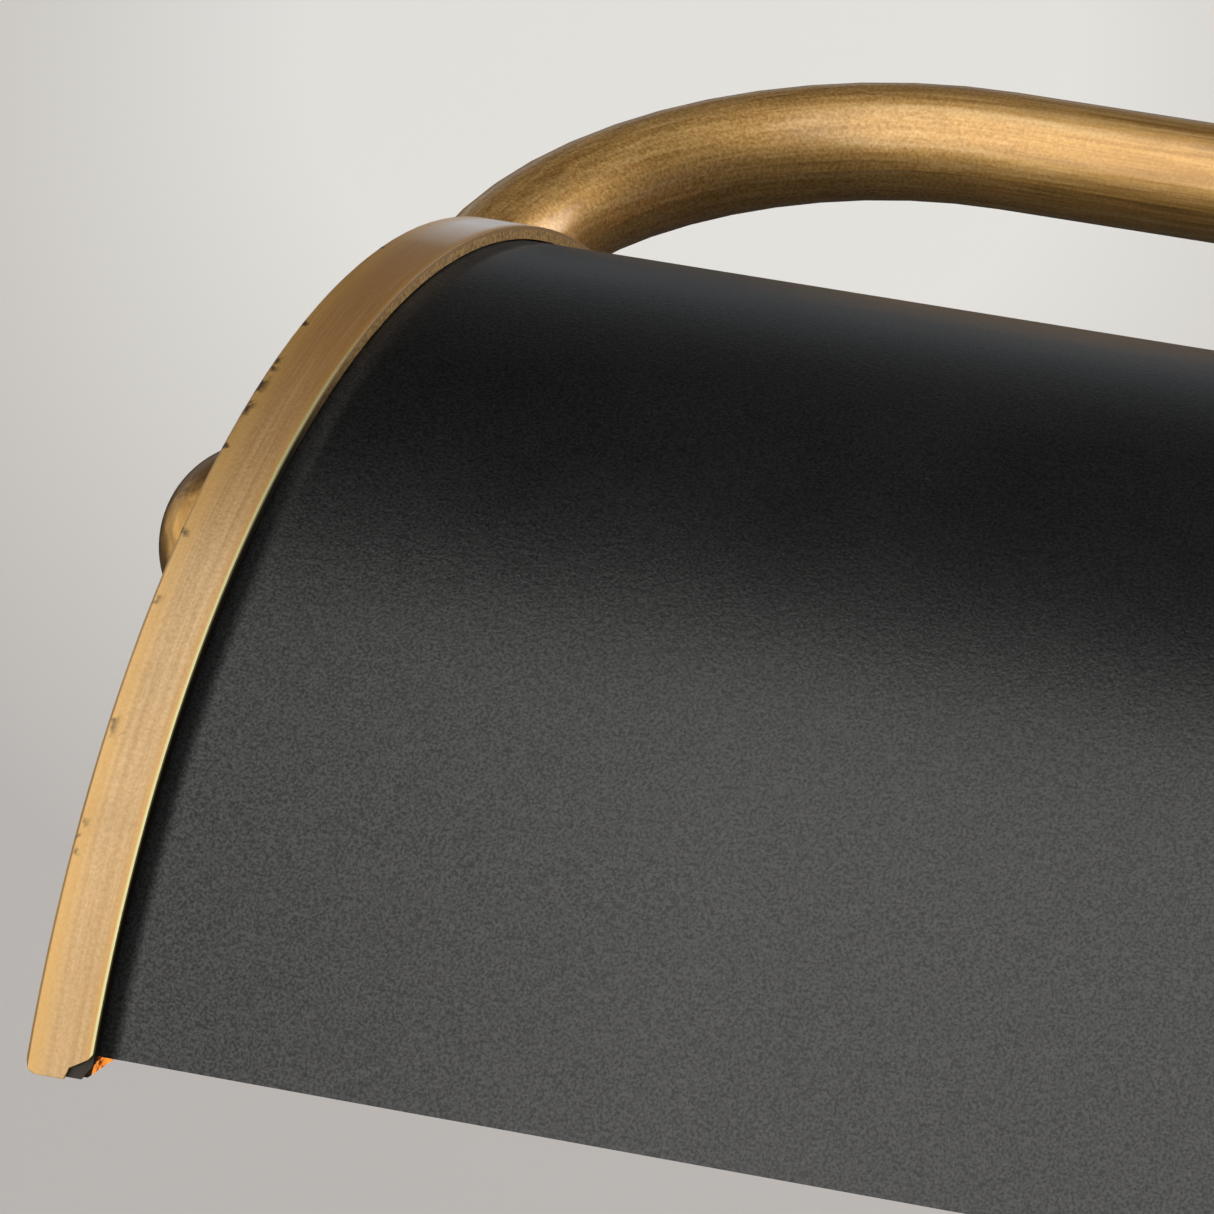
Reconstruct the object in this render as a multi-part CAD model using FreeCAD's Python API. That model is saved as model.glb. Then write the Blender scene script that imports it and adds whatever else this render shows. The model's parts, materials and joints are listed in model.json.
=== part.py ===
import FreeCAD, Part
import math
import os

# Picture light: a long shallow trough shade, hung by its ball-ended pivots in a bent tube yoke,
# which a wall arm carries in front of a round wall cover.
# X runs along the shade, -Y points into the room, +Z is up.
# The origin is the centre of the wall bracket's two screw slots, on the wall's surface.
# Angles on the shade are measured about its arc axis, from the front (-Y) upward.

V = FreeCAD.Vector

# ---- driving dimensions, millimetres and degrees ----
LENGTH_OVER_CAPS = 500.0
ARC_Y = -154.7
PIVOT_Z = 64.0
PIVOT_ABOVE_ARC_AXIS = 44.22
PIVOT_BEHIND_ARC_AXIS = 7.08
SHEET = 1.1

RIM_RADIUS = 71.9
RIM_WIDTH = 5.45
RIM_END_ABOVE_AXIS = 32.8
# Outlines of the corners cut from a rim's or lip's end: (along X from the near plane, up).
RIM_NOTCH = ((0.0, 2.0), (-0.3, 1.6), (-1.75, 0.85), (-2.05, 0.0))
RIM_NOTCH_DEPTH = 0.4
RIM_CORNER_CLIP = ((0.0, 1.0), (-0.75, 0.0))
LIP_CLIP = ((0.0, 1.7), (-2.1, 0.0))
OUTER_CORNER_RADIUS = 1.1
# The foot's outline in plan: (along X from the rim's near plane, back from the rim's lowest edge).
FOOT_OUTLINE = ((-2.3, 0.9), (-0.4, 0.9), (-0.32, 1.26), (0.03, 3.1), (0.4, 4.85), (0.5, 6.5), (-2.3, 6.5))
FOOT_HEIGHT = 0.85

SHELL_RADIUS = 70.7
SHELL_THICKNESS = 0.9
SHELL_EDGE_ANGLE = 28.9
SHELL_TUCK = 3.0
LIP_CLEARANCE = 0.1
LIP_THICKNESS = 1.0
LIP_REACH = 9.0
LIP_SHOWS = 0.3

TUBE_RADIUS = 5.0
TUBE_BORE = 4.0
YOKE_DEPTH = 82.0
YOKE_RISE = 6.35
YOKE_BEND = 34.25

BALL_RADIUS = 8.55
BALL_STANDOFF = 9.0
BALL_NECK_RADIUS = 6.0
WASHER_THICKNESS = 0.5
NIPPLE_RADIUS = 4.0
NIPPLE_BORE = 2.5
RUNNING_CLEARANCE = 0.05
FACE_GAP = 0.02

ARM_BEND = 30.0
COVER_RADIUS = 55.0
COVER_DEPTH = 24.0
COVER_SHEET = 1.2
BRACKET_THICKNESS = 2.0
SLOT_SPACING = 60.0
SLOT_LENGTH = 12.0
SLOT_HALF_WIDTH = 2.5
CABLE_HOLE = 5.0
POST_SPACING = 84.0

LAMP_AXIS_ABOVE_ARC_AXIS = 47.0
HOLDER_FROM_CENTRE = 34.0
RAIL_WIDTH = 26.0
RAIL_DEPTH = 8.0
RAIL_SHEET = 1.2
RAIL_TOP_ABOVE_AXIS = 67.0
STUD_SPACING = 140.0
FEED_RADIUS = 1.6
WIRE_RADIUS = 1.1

# ---- places worked out from them ----
PIVOT_Y = ARC_Y + PIVOT_BEHIND_ARC_AXIS
ARC_Z = PIVOT_Z - PIVOT_ABOVE_ARC_AXIS
HALF = LENGTH_OVER_CAPS / 2
RIM_INNER_X = HALF - RIM_WIDTH
PLATE_INNER_X = HALF - SHEET
SHELL_END_X = RIM_INNER_X + SHELL_TUCK
BALL_X = HALF + BALL_STANDOFF
YOKE_Y = PIVOT_Y + YOKE_DEPTH
YOKE_Z = PIVOT_Z + YOKE_RISE
SHELL_INNER = SHELL_RADIUS - SHELL_THICKNESS
LIP_RADIUS = SHELL_INNER - LIP_CLEARANCE
WASHER_OUTER_X = HALF + FACE_GAP + WASHER_THICKNESS
LAMP_Z = ARC_Z + LAMP_AXIS_ABOVE_ARC_AXIS
RAIL_TOP_Z = ARC_Z + RAIL_TOP_ABOVE_AXIS
RAIL_FLOOR_Z = RAIL_TOP_Z - RAIL_SHEET
SIDES = (("left", -1), ("right", 1))


# ---- helpers ----
def save(node, shape):
    shape.exportStep(os.path.join("parts", node + ".step"))


def group(solids):
    return Part.makeCompound(solids)


def box(x_low, x_high, y_low, y_high, z_low, z_high):
    return Part.makeBox(x_high - x_low, y_high - y_low, z_high - z_low, V(x_low, y_low, z_low))


def rod(radius, start, end):
    return Part.makeCylinder(radius, (end - start).Length, start, end - start)


def ring(outer, inner, start, end):
    overshoot = (end - start).normalize()
    return rod(outer, start, end).cut(rod(inner, start - overshoot, end + overshoot))


def hexagon(across_flats, start, end):
    corner = across_flats / math.sqrt(3)
    axis = (end - start).normalize()
    side = axis.cross(V(0, 0, 1))
    if side.Length < 0.1:
        side = V(1, 0, 0)
    side.normalize()
    up = axis.cross(side)
    points = []
    for step in range(7):
        turn = math.radians(60 * step)
        points.append(start + side * corner * math.cos(turn) + up * corner * math.sin(turn))
    return Part.Face(Part.makePolygon(points)).extrude(end - start)


def right_side(shape):
    """The mirror image of a left-hand piece, across the light's middle plane."""
    return shape.mirror(V(0, 0, 0), V(1, 0, 0))


def other_edge(shape):
    """The mirror image of a front-edge feature, at the shade's back edge."""
    return shape.mirror(V(0, ARC_Y, 0), V(0, 1, 0))


def on_arc(radius, degrees, x):
    turn = math.radians(degrees)
    return V(x, ARC_Y - radius * math.cos(turn), ARC_Z + radius * math.sin(turn))


def arc_band(outer, inner, start_angle, x_low, x_high):
    """A curved sheet about the arc axis, from start_angle over the top to its mirror angle."""
    end_angle = 180 - start_angle
    edges = [
        Part.Arc(on_arc(outer, start_angle, x_low), on_arc(outer, 90, x_low),
                 on_arc(outer, end_angle, x_low)).toShape(),
        Part.makeLine(on_arc(outer, end_angle, x_low), on_arc(inner, end_angle, x_low)),
        Part.Arc(on_arc(inner, end_angle, x_low), on_arc(inner, 90, x_low),
                 on_arc(inner, start_angle, x_low)).toShape(),
        Part.makeLine(on_arc(inner, start_angle, x_low), on_arc(outer, start_angle, x_low)),
    ]
    return Part.Face(Part.Wire(edges)).extrude(V(x_high - x_low, 0, 0))


def rounded_path(points, bend_radius):
    """Straight runs joined by tangent arcs of one radius."""
    edges = []
    start = points[0]
    for before, corner, after in zip(points, points[1:], points[2:]):
        back = (before - corner).normalize()
        ahead = (after - corner).normalize()
        half_angle = back.getAngle(ahead) / 2
        trim = bend_radius / math.tan(half_angle)
        middle_reach = bend_radius / math.sin(half_angle) - bend_radius
        arc_start = corner + back * trim
        arc_end = corner + ahead * trim
        middle = corner + (back + ahead).normalize() * middle_reach
        edges.append(Part.makeLine(start, arc_start))
        edges.append(Part.Arc(arc_start, middle, arc_end).toShape())
        start = arc_end
    edges.append(Part.makeLine(start, points[-1]))
    return Part.Wire(edges)


def swept_rod(points, bend_radius, radius):
    path = rounded_path(points, bend_radius)
    heading = (points[1] - points[0]).normalize()
    profile = Part.Wire(Part.makeCircle(radius, points[0], heading))
    return path.makePipeShell([profile], True, True)


def swept_tube(points, bend_radius, radius, bore):
    return swept_rod(points, bend_radius, radius).cut(swept_rod(points, bend_radius, bore))


# ---- shade: shell and end caps ----
def shade_shell():
    return arc_band(SHELL_RADIUS, SHELL_INNER, SHELL_EDGE_ANGLE, -SHELL_END_X, SHELL_END_X)


def corner_cutter(x_corner, z_corner, outline):
    """Cuts a corner off a rim's or lip's end; outline runs from the cut's top to its bottom."""
    margin = LIP_REACH + 3.0
    corners = [(x_corner + along, z_corner + up) for along, up in outline]
    corners.append((corners[-1][0], z_corner - margin))
    corners.append((x_corner + margin, z_corner - margin))
    corners.append((x_corner + margin, corners[0][1]))
    points = [V(x, 0, z) for x, z in corners]
    cutter = Part.Face(Part.makePolygon(points + points[:1])).extrude(V(0, RIM_RADIUS / 2, 0))
    cutter.translate(V(0, ARC_Y - RIM_RADIUS - 1, 0))
    return cutter


def cap_foot():
    """The cast foot inside the cap's front corner, under the shell's lower edge."""
    end_z = ARC_Z + RIM_END_ABOVE_AXIS
    rim_edge_y = ARC_Y - math.sqrt(RIM_RADIUS ** 2 - RIM_END_ABOVE_AXIS ** 2)
    points = [V(-RIM_INNER_X + along, rim_edge_y + back, end_z) for along, back in FOOT_OUTLINE]
    return Part.Face(Part.makePolygon(points + points[:1])).extrude(V(0, 0, FOOT_HEIGHT))


def outer_corner_offcut():
    """What comes off the cap's outer bottom corner, from front to back, to round it."""
    end_z = ARC_Z + RIM_END_ABOVE_AXIS
    radius = OUTER_CORNER_RADIUS
    front = ARC_Y - 2 * RIM_RADIUS
    back = ARC_Y + 2 * RIM_RADIUS
    block = box(-HALF - 1, -HALF + radius, front, back, end_z - 1, end_z + radius)
    kept = rod(radius, V(-HALF + radius, front, end_z + radius), V(-HALF + radius, back, end_z + radius))
    return block.cut(kept)


def turned_segment(corners):
    """A turned piece about the arc axis, kept only above the rim's end height.

    Each corner is (x, radius), and the last one joins the first.
    """
    points = [V(x, ARC_Y, ARC_Z - radius) for x, radius in corners]
    section = Part.Face(Part.makePolygon(points + points[:1]))
    turned = section.revolve(V(0, ARC_Y, ARC_Z), V(1, 0, 0), 360)
    far = 2 * RIM_RADIUS
    below = box(-HALF - 5, -HALF + 40, ARC_Y - far, ARC_Y + far, ARC_Z - far, ARC_Z + RIM_END_ABOVE_AXIS)
    return turned.cut(below)


def end_cap():
    """The left cap: a plate, its outer rim over the shell's end, a lip inside the shell, and two feet."""
    soft_edge = 0.3
    rim_inside = RIM_RADIUS - SHEET
    lip_inside = LIP_RADIUS - LIP_THICKNESS
    lip_end = -RIM_INNER_X + LIP_REACH
    pan = turned_segment([
        (-HALF + soft_edge, RIM_RADIUS), (-RIM_INNER_X, RIM_RADIUS), (-RIM_INNER_X, rim_inside),
        (-PLATE_INNER_X, rim_inside), (-PLATE_INNER_X, 0), (-HALF, 0), (-HALF, RIM_RADIUS - soft_edge),
    ])
    lip = turned_segment([
        (-PLATE_INNER_X, LIP_RADIUS), (lip_end, LIP_RADIUS), (lip_end, lip_inside),
        (-PLATE_INNER_X, lip_inside),
    ])
    end_z = ARC_Z + RIM_END_ABOVE_AXIS
    core = rod(RIM_RADIUS - RIM_NOTCH_DEPTH, V(-HALF - 5, ARC_Y, ARC_Z), V(0, ARC_Y, ARC_Z))
    notch = corner_cutter(-RIM_INNER_X, end_z, RIM_NOTCH).cut(core)
    corner_clip = corner_cutter(-RIM_INNER_X, end_z, RIM_CORNER_CLIP)
    lip_clip = corner_cutter(-RIM_INNER_X + LIP_SHOWS, end_z, LIP_CLIP)
    for cutter in (notch, corner_clip):
        pan = pan.cut(cutter).cut(other_edge(cutter))
    pan = pan.cut(outer_corner_offcut())
    lip = lip.cut(lip_clip).cut(other_edge(lip_clip))
    pivot_hole = rod(5.0, V(-HALF - 5, PIVOT_Y, PIVOT_Z), V(-HALF + 5, PIVOT_Y, PIVOT_Z))
    foot = cap_foot()
    return pan.fuse([lip, foot, other_edge(foot)]).cut(pivot_hole)


def build_shade():
    save("shade_shell", shade_shell())
    left_cap = end_cap()
    save("end_cap_left", left_cap)
    save("end_cap_right", right_side(left_cap))


# ---- pivots between the yoke's ball ends and the end caps ----
def pivot_axis_point(x):
    return V(x, PIVOT_Y, PIVOT_Z)


def leg_direction():
    return V(0, YOKE_DEPTH, YOKE_RISE).normalize()


def pivot_ball():
    """The left ball end: a short neck against the washer, bored for the nipple and for the yoke leg."""
    centre = pivot_axis_point(-BALL_X)
    neck = rod(BALL_NECK_RADIUS, centre, pivot_axis_point(-WASHER_OUTER_X))
    ball = Part.makeSphere(BALL_RADIUS, centre).fuse(neck)
    ball = ball.cut(box(-WASHER_OUTER_X, -HALF + 20, PIVOT_Y - 20, PIVOT_Y + 20, PIVOT_Z - 20, PIVOT_Z + 20))
    ball = ball.cut(rod(NIPPLE_RADIUS, centre, pivot_axis_point(-HALF + 5)))
    ball = ball.cut(rod(TUBE_BORE, centre, centre + leg_direction() * 2 * BALL_RADIUS))
    socket_depth = 4.4
    socket = rod(TUBE_RADIUS, centre + leg_direction() * socket_depth, centre + leg_direction() * 20)
    ball = ball.cut(socket)
    return ball.cut(Part.makeSphere(TUBE_BORE, centre))


def pivot_nipple():
    start = pivot_axis_point(-BALL_X + 2.6)
    end = pivot_axis_point(-HALF + 9.5)
    return ring(NIPPLE_RADIUS, NIPPLE_BORE, start, end)


def friction_washer():
    start = pivot_axis_point(-WASHER_OUTER_X)
    end = pivot_axis_point(-HALF - FACE_GAP)
    return ring(6.4, NIPPLE_RADIUS, start, end)


def pivot_bush():
    """A flanged plastic bush, pressed into the cap's plate from inside."""
    hole = 5.0
    flange_x = -PLATE_INNER_X
    sleeve = rod(hole, pivot_axis_point(-HALF), pivot_axis_point(flange_x + 1.0))
    flange = rod(7.5, pivot_axis_point(flange_x), pivot_axis_point(flange_x + 1.0))
    bore = rod(NIPPLE_RADIUS + RUNNING_CLEARANCE, pivot_axis_point(-HALF - 1), pivot_axis_point(-HALF + 9))
    return sleeve.fuse(flange).cut(bore)


def spring_washer():
    start_x = -PLATE_INNER_X + 1.0 + FACE_GAP
    return ring(6.5, NIPPLE_RADIUS, pivot_axis_point(start_x), pivot_axis_point(start_x + 0.8))


def pivot_nut():
    start_x = -PLATE_INNER_X + 1.8 + FACE_GAP
    nut = hexagon(13.0, pivot_axis_point(start_x), pivot_axis_point(start_x + 4.0))
    return nut.cut(rod(NIPPLE_RADIUS, pivot_axis_point(start_x - 1), pivot_axis_point(start_x + 6)))


def build_pivots():
    pieces = {
        "pivot_ball": pivot_ball(),
        "pivot_nipple": pivot_nipple(),
        "friction_washer": friction_washer(),
        "pivot_bush": pivot_bush(),
        "spring_washer": spring_washer(),
        "pivot_nut": pivot_nut(),
    }
    for name, left_piece in pieces.items():
        save(name + "_left", left_piece)
        save(name + "_right", right_side(left_piece))


# ---- yoke, tee and wall arm ----
def yoke_points(leg_start):
    """The yoke's centre line from one ball to the other, behind the shade."""
    left_start = pivot_axis_point(-BALL_X) + leg_direction() * leg_start
    right_start = pivot_axis_point(BALL_X) + leg_direction() * leg_start
    return [left_start, V(-BALL_X, YOKE_Y, YOKE_Z), V(BALL_X, YOKE_Y, YOKE_Z), right_start]


def arm_points():
    """The arm's centre line, out of the wall cover and up into the tee."""
    return [V(0, -10, 0), V(0, YOKE_Y, 0), V(0, YOKE_Y, YOKE_Z - TUBE_RADIUS - 0.4)]


def yoke_tube():
    tube = swept_tube(yoke_points(4.5), YOKE_BEND, TUBE_RADIUS, TUBE_BORE)
    wire_hole = rod(2.5, V(0, YOKE_Y, YOKE_Z), V(0, YOKE_Y, YOKE_Z - 8))
    return tube.cut(wire_hole)


def arm_tube():
    return swept_tube(arm_points(), ARM_BEND, TUBE_RADIUS, TUBE_BORE)


def arm_tee():
    """A brass tee: a sleeve around the yoke tube, with a socket for the arm below."""
    middle = V(0, YOKE_Y, YOKE_Z)
    sleeve_half = 14.0
    sleeve = rod(7.6, middle - V(sleeve_half, 0, 0), middle + V(sleeve_half, 0, 0))
    stem = rod(7.6, middle, middle - V(0, 0, 24))
    tee = sleeve.fuse(stem)
    tee = tee.cut(rod(TUBE_RADIUS, middle - V(20, 0, 0), middle + V(20, 0, 0)))
    tee = tee.cut(rod(TUBE_RADIUS, middle - V(0, 0, TUBE_RADIUS + 0.4), middle - V(0, 0, 30)))
    return tee.cut(rod(TUBE_BORE, middle, middle - V(0, 0, 20)))


def tee_collars():
    """Thin turned collars that cover the sleeve's two ends and the socket's mouth."""
    collars = []
    for side in (-1, 1):
        start = V(side * 14.0, YOKE_Y, YOKE_Z)
        collars.append(ring(8.6, TUBE_RADIUS, start, start + V(side * 2.0, 0, 0)))
    mouth = V(0, YOKE_Y, YOKE_Z - 24)
    collars.append(ring(8.6, TUBE_RADIUS, mouth, mouth - V(0, 0, 2.0)))
    return group(collars)


def set_screws():
    """Two grub screws in the back of the tee, which grip the yoke tube."""
    screws = []
    for x in (-9.0, 9.0):
        top = V(x, YOKE_Y + TUBE_RADIUS, YOKE_Z)
        screws.append(socket_grub(top, V(0, 1, 0)))
    return screws


def socket_grub(seat, outward):
    """An M3 grub screw standing on the tube's surface, with a hexagon socket."""
    body = rod(1.5, seat, seat + outward * 2.3)
    return body.cut(hexagon(1.5, seat + outward * 1.2, seat + outward * 2.3))


def build_yoke():
    tee = arm_tee()
    tee_screws = set_screws()
    for screw in tee_screws:
        tee = tee.cut(rod(1.5, screw.BoundBox.Center - V(0, 2, 0), screw.BoundBox.Center + V(0, 4, 0)))
    save("yoke_tube", yoke_tube())
    save("arm_tee", tee)
    save("tee_collars", tee_collars())
    save("tee_set_screws", group(tee_screws))
    save("arm_tube", arm_tube())


# ---- wall cover and bracket ----
def wall_cover():
    """A round pressed cover with a soft front edge, open at the wall."""
    profile = [
        V(0, -COVER_DEPTH, 0),
        V(COVER_RADIUS - 3.0, -COVER_DEPTH, 0),
        V(COVER_RADIUS, -FACE_GAP, 0),
        V(0, -FACE_GAP, 0),
        V(0, -COVER_DEPTH, 0),
    ]
    body = Part.Face(Part.makePolygon(profile)).revolve(V(0, 0, 0), V(0, 1, 0), 360)
    front_edge = [edge for edge in body.Edges if abs(edge.CenterOfMass.y + COVER_DEPTH) < 0.01
                  and abs(edge.Length - 2 * math.pi * (COVER_RADIUS - 3.0)) < 0.1]
    body = body.makeFillet(5.0, front_edge)
    back_face = [face for face in body.Faces if abs(face.CenterOfMass.y + FACE_GAP) < 0.01]
    shell = body.makeThickness(back_face, -COVER_SHEET, 0.001)
    shell = shell.cut(rod(TUBE_RADIUS, V(0, -COVER_DEPTH - 2, 0), V(0, -COVER_DEPTH + 4, 0)))
    for side in (-1, 1):
        x = side * POST_SPACING / 2
        shell = shell.cut(rod(2.15, V(x, -COVER_DEPTH - 2, 0), V(x, -COVER_DEPTH + 4, 0)))
    return shell


def wall_bracket():
    """A steel strap with two slots for the wall screws and a hole for the supply cable."""
    half_length = 50.0
    half_height = 13.0
    strap = box(-half_length, half_length, -BRACKET_THICKNESS, 0, -half_height, half_height)
    corners = [edge for edge in strap.Edges if abs(edge.Length - BRACKET_THICKNESS) < 0.01]
    strap = strap.makeFillet(5.0, corners)
    for side in (-1, 1):
        middle = side * SLOT_SPACING / 2
        reach = SLOT_LENGTH / 2 - SLOT_HALF_WIDTH
        for end in (-1, 1):
            x = middle + end * reach
            strap = strap.cut(rod(SLOT_HALF_WIDTH, V(x, -4, 0), V(x, 2, 0)))
        strap = strap.cut(box(middle - reach, middle + reach, -4, 2, -SLOT_HALF_WIDTH, SLOT_HALF_WIDTH))
        x = side * POST_SPACING / 2
        strap = strap.cut(rod(2.0, V(x, -4, 0), V(x, 2, 0)))
    strap = strap.cut(rod(CABLE_HOLE, V(0, -4, 0), V(0, 2, 0)))
    strap = strap.cut(rod(1.5, V(17, -4, -8.5), V(17, 2, -8.5)))
    return strap.cut(rod(1.25, V(-15, -4, 8.5), V(-15, 2, 8.5)))


def bracket_posts():
    """Threaded posts, riveted to the strap, that reach out through the cover's face."""
    posts = []
    for side in (-1, 1):
        x = side * POST_SPACING / 2
        hexagon_end = -COVER_DEPTH + COVER_SHEET
        post = hexagon(7.0, V(x, -BRACKET_THICKNESS, 0), V(x, hexagon_end, 0))
        post = post.fuse(rod(2.0, V(x, 0, 0), V(x, -COVER_DEPTH - 4.5, 0)))
        posts.append(post)
    return group(posts)


def cover_nuts():
    """Domed cap nuts on the posts, which hold the cover to the bracket."""
    nuts = []
    for side in (-1, 1):
        x = side * POST_SPACING / 2
        seat = V(x, -COVER_DEPTH, 0)
        base = rod(5.0, seat, seat - V(0, 2.5, 0))
        dome = Part.makeSphere(5.0, seat - V(0, 2.5, 0)).cut(box(x - 6, x + 6, -COVER_DEPTH - 2.5, 0, -6, 6))
        thread = rod(2.0, seat + V(0, 1, 0), seat - V(0, 4.5, 0))
        nuts.append(base.fuse(dome).cut(thread).removeSplitter())
    return group(nuts)


def arm_collar():
    """The turned rosette where the arm leaves the cover."""
    start = V(0, -COVER_DEPTH, 0)
    wide = ring(11.0, TUBE_RADIUS, start, start - V(0, 3, 0))
    narrow = ring(8.0, TUBE_RADIUS, start - V(0, 3, 0), start - V(0, 9, 0))
    return wide.fuse(narrow).removeSplitter()


def arm_nut():
    start = V(0, -COVER_DEPTH + COVER_SHEET, 0)
    nut = hexagon(17.0, start, start + V(0, 5, 0))
    return nut.cut(rod(TUBE_RADIUS, start - V(0, 1, 0), start + V(0, 6, 0)))


def terminal_block():
    """A three-way terminal block on the strap, with screw and wire holes."""
    x_low = -24.0
    x_high = 24.0
    z_low = -30.0
    z_high = -14.5
    block = box(x_low, x_high, -15, -3.5, z_low, z_high)
    pitch = (x_high - x_low) / 3
    for way in range(3):
        x = x_low + pitch * (way + 0.5)
        block = block.cut(rod(2.2, V(x, -16, (z_low + z_high) / 2), V(x, -11, (z_low + z_high) / 2)))
        block = block.cut(rod(1.9, V(x, -8, z_low - 1), V(x, -8, z_low + 5)))
        block = block.cut(rod(1.9, V(x, -8, z_high + 1), V(x, -8, z_high - 5)))
    for way in (1, 2):
        x = x_low + pitch * way
        block = block.cut(box(x - 0.8, x + 0.8, -16, -12.5, z_low - 1, z_high + 1))
    return block


def terminal_carrier():
    """A bent steel tab that carries the terminal block below the strap."""
    foot = box(10, 24, -BRACKET_THICKNESS - 1.2, -BRACKET_THICKNESS, -12.5, -5)
    plate = box(-24, 24, -3.5, -2.3, -30, -12.5)
    foot = foot.fuse(box(10, 24, -3.5, -BRACKET_THICKNESS, -12.5, -11.5))
    tab = plate.fuse(foot).removeSplitter()
    return tab.cut(rod(1.6, V(17, -8, -8.5), V(17, 2, -8.5)))


def pan_screw(head_seat, inward, shank_radius, head_radius, shank_length):
    """A pan-head screw with a cross slot; inward points along the shank."""
    head_height = head_radius * 0.7
    head = rod(head_radius, head_seat, head_seat - inward * head_height)
    top_edge = [edge for edge in head.Edges
                if (edge.CenterOfMass - (head_seat - inward * head_height)).Length < 0.01]
    head = head.makeFillet(head_height * 0.45, top_edge)
    for first, second in ((1.0, 0.22), (0.22, 1.0)):
        side = inward.cross(V(0.3, 0.2, 0.9)).normalize()
        other = inward.cross(side)
        top = head_seat - inward * head_height
        half_a = side * head_radius * 0.55 * first
        half_b = other * head_radius * 0.55 * second
        loop = Part.makePolygon([top + half_a + half_b, top - half_a + half_b, top - half_a - half_b,
                                 top + half_a - half_b, top + half_a + half_b])
        head = head.cut(Part.Face(loop).extrude(inward * head_height * 0.5))
    return head.fuse(rod(shank_radius, head_seat, head_seat + inward * shank_length))


def build_wall_mount():
    save("wall_cover", wall_cover())
    save("wall_bracket", wall_bracket())
    save("bracket_posts", bracket_posts())
    save("cover_nuts", cover_nuts())
    save("arm_collar", arm_collar())
    save("arm_nut", arm_nut())
    save("terminal_block", terminal_block())
    save("terminal_carrier", terminal_carrier())
    carrier_seat = V(17, -BRACKET_THICKNESS - 1.2, -8.5)
    save("terminal_screw", pan_screw(carrier_seat, V(0, 1, 0), 1.5, 2.8, 3.1))
    save("earth_screw", pan_screw(V(-15, -BRACKET_THICKNESS, 8.5), V(0, 1, 0), 1.25, 2.8, 1.9))


# ---- lamps and their rail, inside the shade ----
def lamp_rail():
    """A folded channel, open downward, hung from studs inside the top of the shell."""
    half_length = RIM_INNER_X - LIP_REACH - 5.5
    half_width = RAIL_WIDTH / 2
    outer = box(-half_length, half_length, ARC_Y - half_width, ARC_Y + half_width,
                RAIL_TOP_Z - RAIL_DEPTH, RAIL_TOP_Z)
    inner = box(-half_length - 1, half_length + 1, ARC_Y - half_width + RAIL_SHEET,
                ARC_Y + half_width - RAIL_SHEET, RAIL_TOP_Z - RAIL_DEPTH - 1, RAIL_FLOOR_Z)
    rail = outer.cut(inner)
    for x in stud_places():
        rail = rail.cut(rod(2.1, V(x, ARC_Y, RAIL_FLOOR_Z - 1), V(x, ARC_Y, RAIL_TOP_Z + 1)))
    for side in (-1, 1):
        x = side * bracket_screw_x()
        rail = rail.cut(rod(1.6, V(x, ARC_Y, RAIL_FLOOR_Z - 1), V(x, ARC_Y, RAIL_TOP_Z + 1)))
    return rail


def stud_places():
    return (-STUD_SPACING, STUD_SPACING)


def bracket_screw_x():
    return HOLDER_FROM_CENTRE - 7.0


def rail_studs():
    """Studs welded to the inside of the shell, with a shoulder that spaces the rail off."""
    studs = []
    for x in stud_places():
        shoulder = rod(3.5, V(x, ARC_Y, RAIL_TOP_Z), V(x, ARC_Y, ARC_Z + SHELL_INNER + 1))
        shank = rod(2.0, V(x, ARC_Y, RAIL_TOP_Z - 8), V(x, ARC_Y, RAIL_TOP_Z + 0.5))
        inside = rod(SHELL_INNER - 0.02, V(x - 10, ARC_Y, ARC_Z), V(x + 10, ARC_Y, ARC_Z))
        studs.append(shoulder.fuse(shank).common(inside).removeSplitter())
    return group(studs)


def rail_nuts():
    nuts = []
    for x in stud_places():
        top = V(x, ARC_Y, RAIL_FLOOR_Z)
        nut = hexagon(7.0, top, top - V(0, 0, 3.2))
        nuts.append(nut.cut(rod(2.0, top + V(0, 0, 1), top - V(0, 0, 4))))
    return group(nuts)


def holder_bracket():
    """The left-hand bent bracket: a foot under the rail and a plate that carries the holder."""
    thickness = 1.2
    half_width = 7.5
    x_plate = -HOLDER_FROM_CENTRE
    y_low = ARC_Y - half_width
    y_high = ARC_Y + half_width
    foot_top = RAIL_FLOOR_Z
    plate = box(x_plate, x_plate + thickness, y_low, y_high, LAMP_Z - 9, foot_top)
    foot = box(x_plate, x_plate + 14, y_low, y_high, foot_top - thickness, foot_top)
    bracket = plate.fuse(foot).removeSplitter()
    bracket = bracket.cut(rod(5.0, V(x_plate - 1, ARC_Y, LAMP_Z), V(x_plate + 3, ARC_Y, LAMP_Z)))
    screw_x = -bracket_screw_x()
    return bracket.cut(rod(1.5, V(screw_x, ARC_Y, foot_top - 3), V(screw_x, ARC_Y, foot_top + 3)))


def bracket_screws():
    screws = []
    for side in (-1, 1):
        seat = V(side * bracket_screw_x(), ARC_Y, RAIL_FLOOR_Z - 1.2)
        screws.append(pan_screw(seat, V(0, 0, 1), 1.5, 2.8, 4.0))
    return group(screws)


def lamp_point(x):
    return V(x, ARC_Y, LAMP_Z)


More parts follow.
